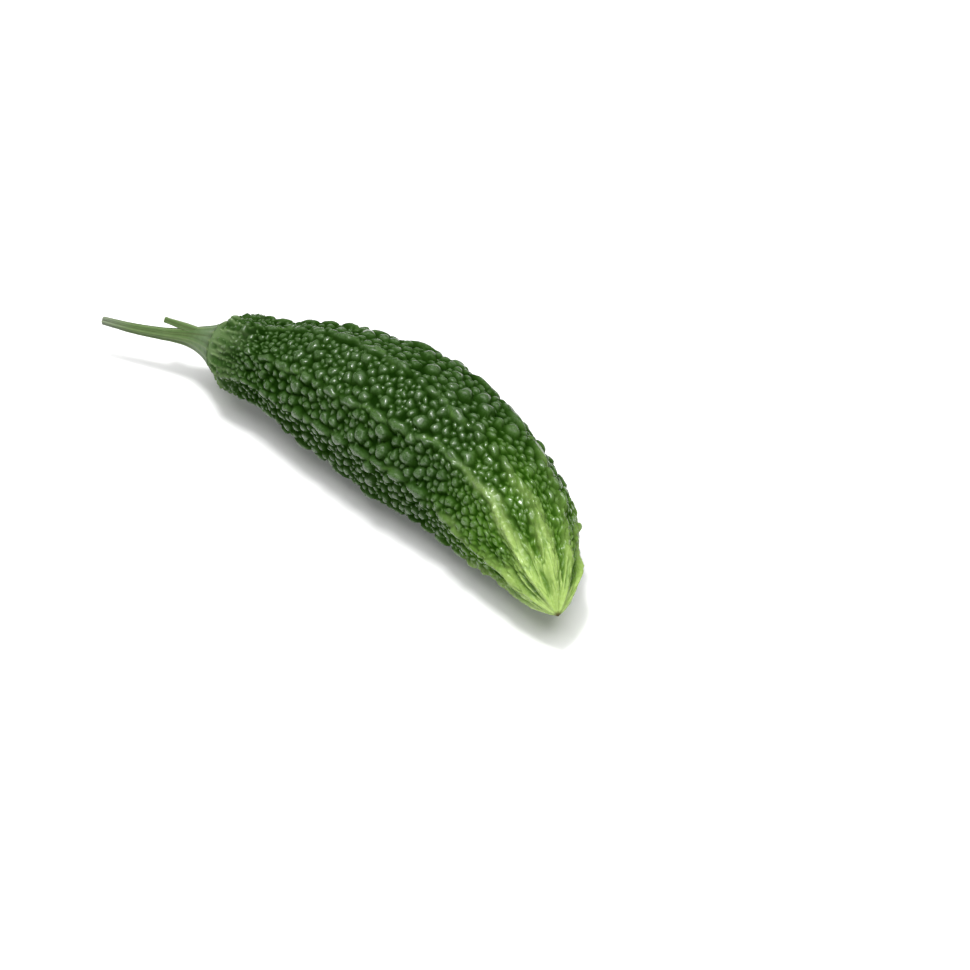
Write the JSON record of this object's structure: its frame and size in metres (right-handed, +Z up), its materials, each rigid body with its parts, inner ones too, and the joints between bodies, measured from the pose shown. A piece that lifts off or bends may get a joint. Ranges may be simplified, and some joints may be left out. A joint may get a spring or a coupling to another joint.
{
  "type": "bitter gourd",
  "caption": "Whole bitter gourd lying on its side: a bowed, ribbed and warty fruit that tapers to a pointed blossom tip, with its cut stem and a short side shoot.",
  "frame": {"origin": "on the ground, at the middle of the underside of the whole part's box", "axes": "+X from the neck towards the blossom tip, +Y towards the side that the fruit bows to, +Z up"},
  "size_m": [0.226, 0.0734, 0.0564],
  "materials": {
    "fruit_skin": "waxy dark green gourd skin, lighter on the warts, pale yellow-green ribs at the tip",
    "stem_skin": "dull grey-green plant stem, finely grooved along its length"
  },
  "bodies": {
    "root": {"fruit": "fruit_skin", "stem": "stem_skin"}
  },
  "joints": []
}
